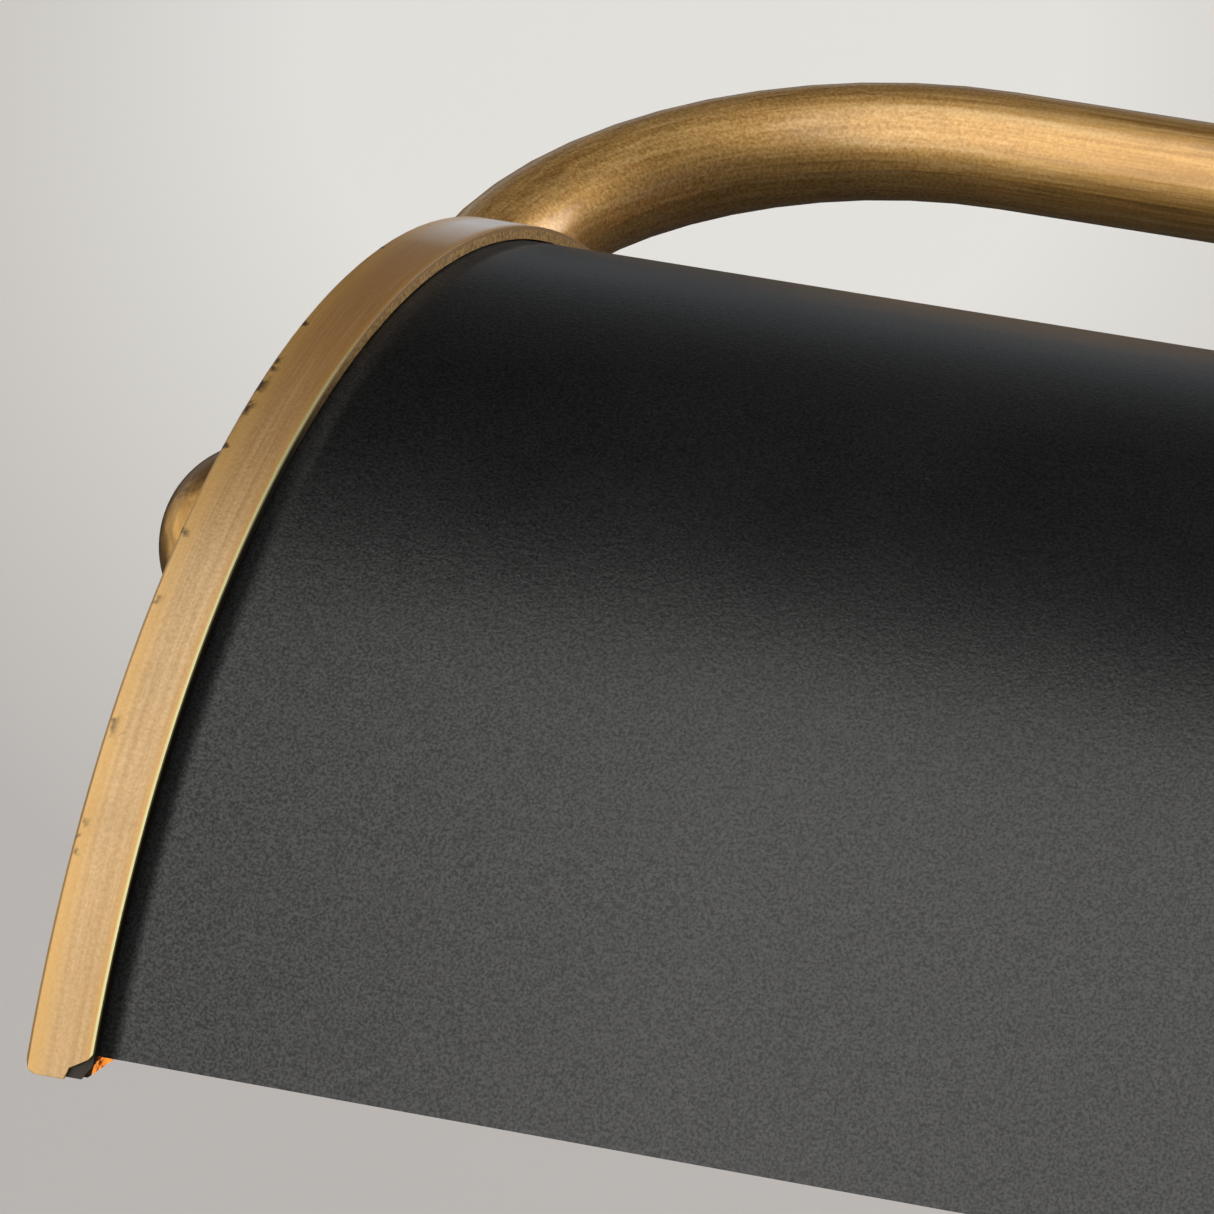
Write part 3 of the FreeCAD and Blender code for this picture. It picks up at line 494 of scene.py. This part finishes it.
def powder_coat():
    """Matt black fine-textured coat, with a painted shadow beside each rim and darker towards each rim;
    satin white inside.
    """
    tree = new_material("shade_paint")
    x, y, z = tree.position()
    place = tree.place()
    grain = tree.noise(place, PAINT_GRAIN, 2.0, 0.6)
    pits = tree.noise(place, PAINT_PITS, 2.0, 0.55)
    cloud = tree.noise(place, PAINT_CLOUDS, 3.0, 0.5)
    specks = tree.spread(tree.noise(place, PAINT_SPECKS, 2.0, 0.5), 0.76, 0.80, 0.0, 0.6)
    black = tree.ramp(tree.blend(0.25, grain, cloud), PAINT_BLACKS)
    dusty = tree.mix(specks, black, PAINT_DUST)

    # painted shadow: a black strip beside each rim, fading over the top
    edge_gap = tree.subtract(RIM_INNER_X, tree.distance_out(x))
    from_top = tree.distance_out(tree.subtract(y, ARC_Y))
    rim_shadow = tree.multiply(tree.spread(edge_gap, *RIM_SHADOW_WIDTH, 1.0, 0.0),
                         tree.spread(from_top, *RIM_SHADOW_FADES, 0.25, 1.0))
    outside = tree.mix(rim_shadow, dusty, RIM_SHADOW_BLACK)
    inside = tree.math("LESS_THAN", from_arc_axis(tree, y, z), SHELL_RADIUS - SHELL_THICKNESS / 2)
    base = tree.mix(inside, outside, tree.ramp(cloud, PAINT_WHITES))

    satin = tree.add(tree.spread(cloud, 0.3, 0.7, 0.33, 0.37), tree.multiply(rim_shadow, 0.6))
    # less sheen, so darker, towards each rim
    darker_near_rims = tree.spread(edge_gap, *DARKER_NEAR_RIMS, 0.22, 0.0)
    fleck = tree.add(tree.spread(grain, 0.36, 0.64, 0.44, 0.0), darker_near_rims)
    height = tree.add(pits, tree.multiply(grain, 0.5))
    tree.surface(Base_Color=base, Roughness=satin, Metallic=fleck, Specular_IOR_Level=0.98,
                 Normal=tree.bump(height, PAINT_DEPTH, 0.42))
    return tree.owner


# ---- plain metals, plastics and glass inside ----
SPANGLE = 700.0
ORANGE_PEEL = 900.0
FINE_PEEL = 400.0
MOULDING_CLOUDS = 80.0
GLASS_SMEARS = 70.0
FILAMENT_GRAIN = 900.0
FILAMENT_STRENGTH = 9.0


def plated_steel(name, low, high, roughness_low, roughness_high):
    tree = new_material(name)
    spangle = tree.noise(tree.place(), SPANGLE, 4.0, 0.6)
    base = tree.ramp(spangle, [(0.3, low), (0.7, high)])
    roughness = tree.spread(spangle, 0.3, 0.7, roughness_low, roughness_high)
    tree.surface(Base_Color=base, Roughness=roughness, Metallic=1.0, Normal=tree.bump(spangle, 0.00002, 0.4))
    return tree.owner


def moulded(name, low, high, roughness_low, roughness_high, peel_scale=ORANGE_PEEL):
    """A moulded or painted surface with a slight orange peel."""
    tree = new_material(name)
    place = tree.place()
    peel = tree.noise(place, peel_scale, 2.0, 0.5)
    cloud = tree.noise(place, MOULDING_CLOUDS, 3.0, 0.5)
    base = tree.ramp(cloud, [(0.3, low), (0.7, high)])
    roughness = tree.spread(cloud, 0.3, 0.7, roughness_low, roughness_high)
    tree.surface(Base_Color=base, Roughness=roughness, Normal=tree.bump(peel, 0.00002, 0.4))
    return tree.owner


def bulb_glass():
    tree = new_material("bulb_glass")
    smear = tree.noise(tree.place(), GLASS_SMEARS, 3.0, 0.5)
    base = tree.ramp(smear, [(0.3, (0.95, 0.96, 0.96)), (0.7, (1.0, 1.0, 1.0))])
    roughness = tree.spread(smear, 0.45, 0.75, 0.0, 0.08)
    tree.surface(Base_Color=base, Roughness=roughness, Transmission_Weight=1.0, IOR=1.46)
    return tree.owner


def glowing_filament():
    tree = new_material("glowing_filament")
    grain = tree.noise(tree.place(), FILAMENT_GRAIN, 2.0, 0.5)
    glow = tree.ramp(grain, [(0.3, (1.0, 0.42, 0.10)), (0.7, (1.0, 0.60, 0.22))])
    tree.surface(Base_Color=glow, Roughness=0.6, Emission_Color=glow, Emission_Strength=FILAMENT_STRENGTH)
    return tree.owner


# ---- finishes on the pieces ----
def paint_nodes():
    """Gives every CAD node its finish."""
    finishes = {
        "aged_brass": aged_brass("brass_turned", turned_grain, BRASS_TONES),
        "turned_brass": turned_brass(),
        "black_powder_coat": powder_coat(),
        "dark_steel": plated_steel("black_oxide", (0.05, 0.048, 0.045), (0.11, 0.10, 0.095), 0.35, 0.5),
        "zinc_steel": plated_steel("zinc_plate", (0.42, 0.43, 0.44), (0.66, 0.67, 0.68), 0.28, 0.42),
        "white_enamel": moulded("white_enamel", (0.72, 0.71, 0.67), (0.82, 0.81, 0.78), 0.22, 0.32),
        "nylon": moulded("nylon", (0.70, 0.67, 0.58), (0.80, 0.77, 0.69), 0.42, 0.52),
        "black_bakelite": moulded("bakelite", (0.014, 0.011, 0.009), (0.030, 0.022, 0.018), 0.18, 0.30),
        "clear_glass": bulb_glass(),
        "filament": glowing_filament(),
        "terminal_plastic": moulded("terminal_plastic", (0.74, 0.73, 0.69), (0.83, 0.82, 0.78), 0.38, 0.5),
        "wire_insulation": moulded("wire_insulation", (0.72, 0.70, 0.64), (0.80, 0.78, 0.73), 0.45, 0.55,
                                   peel_scale=FINE_PEEL),
    }
    special = {
        "yoke_tube": aged_brass("brass_tube", tube_grain, TUBE_TONES, stretch=36.0, roughness=0.55,
                                metallic=1.0, tarnish=0.25, sand=tube_sand, lacquer=1.0, gloss=1.65),
        "arm_tube": aged_brass("brass_arm", upright_grain, TUBE_TONES, roughness=0.46, metallic=0.85),
        "wall_cover": aged_brass("brass_spun", spun_grain, BRASS_TONES),
    }
    rim = aged_brass("brass_rim", rim_grain, RIM_TONES, roughness=0.52, metallic=0.7, tarnish=0.2, sand=0.35,
                     wear=rim_wear_and_light)
    ball = aged_brass("brass_ball", turned_grain, BALL_TONES, stretch=14.0, roughness=0.30, metallic=0.7,
                      tarnish=0.3, lacquer=0.0, wear=ball_highlight_and_shade)
    for side in ("left", "right"):
        special["end_cap_" + side] = rim
        special["pivot_ball_" + side] = ball
    for name, piece in nodes.items():
        for slot in piece.material_slots:
            slot.material = special.get(name) or finishes[slot.material.name]


def rounded_copy(node, body):
    """The node's own shape with its sharp edges rounded over, standing for that node."""
    shape = bmesh.new()
    shape.from_mesh(nodes[node].data)
    bmesh.ops.remove_doubles(shape, verts=shape.verts, dist=WELD_DISTANCE)
    bmesh.ops.dissolve_limit(shape, angle_limit=FLAT_EDGE, verts=shape.verts, edges=shape.edges)
    mesh = bpy.data.meshes.new(node + "_rounded")
    shape.to_mesh(mesh)
    shape.free()
    mesh.materials.append(nodes[node].material_slots[0].material)
    for face in mesh.polygons:
        face.use_smooth = True
    piece = bpy.data.objects.new(node + "_rounded", mesh)
    bpy.context.scene.collection.objects.link(piece)
    bevel = piece.modifiers.new("rounding", "BEVEL")
    bevel.width = EDGE_ROUNDING
    bevel.segments = ROUNDING_SEGMENTS
    bevel.limit_method = "ANGLE"
    bevel.angle_limit = SHARP_EDGE
    bevel.use_clamp_overlap = True
    piece.modifiers.new("even_normals", "WEIGHTED_NORMAL")
    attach(piece, body)
    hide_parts(node)


# ---- stage, lights and camera ----
def direction_from(azimuth, elevation):
    """A unit vector from the object: azimuth 0 is -Y (the room), 90 is +X."""
    turn, rise = math.radians(azimuth), math.radians(elevation)
    return Vector((math.sin(turn) * math.cos(rise), -math.cos(turn) * math.cos(rise), math.sin(rise)))


def from_pool_centre(tree):
    """Distance from the centre of the painted pool of light, shortened ahead so that the pool looks round.
    """
    x, y, _ = tree.position()
    sine, cosine = math.sin(CAMERA_AZIMUTH), math.cos(CAMERA_AZIMUTH)
    ahead = tree.subtract(tree.multiply(y, cosine), tree.multiply(x, sine))
    aside = tree.add(tree.multiply(x, cosine), tree.multiply(y, sine))
    foreshortened = tree.multiply(tree.subtract(ahead, POOL_AHEAD), math.sin(CAMERA_ELEVATION))
    return tree.length(tree.subtract(aside, POOL_ASIDE), foreshortened)


def floor_paper():
    """Matt pale paper that glows a little, with a painted pool of light."""
    tree = new_material("pale_floor")
    away = tree.spread(from_pool_centre(tree), POOL_BRIGHT_RADIUS, POOL_EDGE_RADIUS)
    lit = tree.mix(away, colour(*PAINTED_LIGHT_POOL_PAPER), colour(*FAR_PAPER))
    mottle = tree.multiply(tree.noise(tree.place(), 3.0, 2.0, 0.5), PAPER_MOTTLE)
    base = tree.mix(mottle, lit, colour(0.5, 0.5, 0.5))
    tree.surface(Base_Color=base, Roughness=0.9, Specular_IOR_Level=0.1, Emission_Color=base,
                 Emission_Strength=PAPER_GLOW)
    return tree.owner


def build_floor():
    """A pale floor below the object, with a pool of light painted behind the shade."""
    level = -FLOOR_DROP
    corners = [(x * FLOOR_REACH, y * FLOOR_REACH, level) for x, y in ((-1, -1), (1, -1), (1, 1), (-1, 1))]
    mesh = bpy.data.meshes.new("floor")
    mesh.from_pydata(corners, [], [(0, 1, 2, 3)])
    mesh.materials.append(floor_paper())
    floor = bpy.data.objects.new("floor", mesh)
    bpy.context.scene.collection.objects.link(floor)
    floor.visible_glossy = False


SKY_AROUND = [
    (0.40, (0.035, 0.034, 0.033)),
    (0.50, (0.34, 0.36, 0.38)),
    (0.58, (0.10, 0.105, 0.11)),
    (0.70, (0.030, 0.031, 0.032)),
]
SKY_AHEAD = [
    (0.18, (0.035, 0.034, 0.033)),
    (0.38, (0.42, 0.40, 0.37)),
    (0.52, (0.66, 0.63, 0.60)),
    (0.70, (0.030, 0.031, 0.032)),
]
SKY_AHEAD_AZIMUTH = -20
SKY_AHEAD_BEGINS = 0.45
SKY_AHEAD_FULL = 0.85


def build_world():
    """Dark overhead and below, with a pale band round the horizon that reaches lower in front."""
    world = bpy.data.worlds.new("studio")
    bpy.context.scene.world = world
    tree = Tree(world)
    toward = tree.node("ShaderNodeTexCoord").outputs["Generated"]
    height = tree.spread(tree.split(toward)["Z"], -1.0, 1.0)
    facing = tree.node("ShaderNodeVectorMath", operation="DOT_PRODUCT")
    tree.feed(facing.inputs[0], toward)
    tree.feed(facing.inputs[1], direction_from(SKY_AHEAD_AZIMUTH, 0))
    in_front = tree.spread(facing.outputs["Value"], SKY_AHEAD_BEGINS, SKY_AHEAD_FULL)
    tree.surface(Color=tree.mix(in_front, tree.ramp(height, SKY_AROUND), tree.ramp(height, SKY_AHEAD)))


def aim(thing, direction):
    """Turns a lamp so that it looks along direction."""
    thing.rotation_mode = "QUATERNION"
    thing.rotation_quaternion = direction.to_track_quat("-Z", "Y")


def add_lamp(name, kind, **settings):
    lamp = bpy.data.objects.new(name, bpy.data.lights.new(name, kind))
    for key, value in settings.items():
        setattr(lamp.data, key, value)
    bpy.context.scene.collection.objects.link(lamp)
    return lamp


def area_lamp(name, azimuth, elevation, distance, size, radiance, tint):
    """A square softbox of the given brightness, aimed at the shade and itself unseen."""
    energy = radiance * math.pi * size * size
    lamp = add_lamp(name, "AREA", energy=energy, size=size, color=tint)
    toward = direction_from(azimuth, elevation)
    lamp.location = Vector((0, ARC_Y, PIVOT.z)) + toward * distance
    aim(lamp, -toward)
    lamp.visible_camera = False


def build_lights():
    """A wide soft key from the upper left front, a fill behind the right end, and the lit lamps."""
    key = add_lamp("key_bank", "SUN", energy=2.45, angle=math.radians(96), color=(1.0, 0.985, 0.96))
    aim(key, -direction_from(azimuth=-28, elevation=46))
    area_lamp("rear_fill", azimuth=148, elevation=12, distance=2.2, size=1.5, radiance=3.9,
              tint=(1.0, 0.96, 0.90))
    for side in ("left", "right"):
        low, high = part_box("lamp_glass_" + side)
        glow = add_lamp("glow_" + side, "POINT", energy=0.8, shadow_soft_size=0.01, color=(1.0, 0.55, 0.20))
        glow.location = ((low.x + high.x) / 2, ARC_Y, low.z - GLOW_BELOW_LAMP)
        glow.visible_camera = False
        glow.visible_glossy = False
        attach(glow, "shade")


def build_camera():
    """Looks at a point set off from where the arc's axis passes the left rim's near side."""
    right = Vector((math.cos(CAMERA_AZIMUTH), math.sin(CAMERA_AZIMUTH), 0))
    toward = direction_from(math.degrees(CAMERA_AZIMUTH), math.degrees(CAMERA_ELEVATION))
    up = toward.cross(right)
    rim_centre = Vector((cap_low.x + RIM_WIDTH, ARC_Y, ARC_Z))
    target = rim_centre + right * AIM_RIGHT + up * AIM_UP
    camera = bpy.data.objects.new("camera", bpy.data.cameras.new("camera"))
    camera.data.lens = CAMERA_LENS
    camera.data.sensor_width = SENSOR_WIDTH
    camera.matrix_world = Matrix((right, up, toward)).transposed().to_4x4()
    camera.location = target + toward * CAMERA_DISTANCE
    bpy.context.scene.collection.objects.link(camera)
    bpy.context.scene.camera = camera


bpy.context.scene.view_settings.view_transform = "Standard"
paint_nodes()
for side in ("left", "right"):
    rounded_copy("end_cap_" + side, "shade")
build_floor()
build_world()
build_lights()
build_camera()
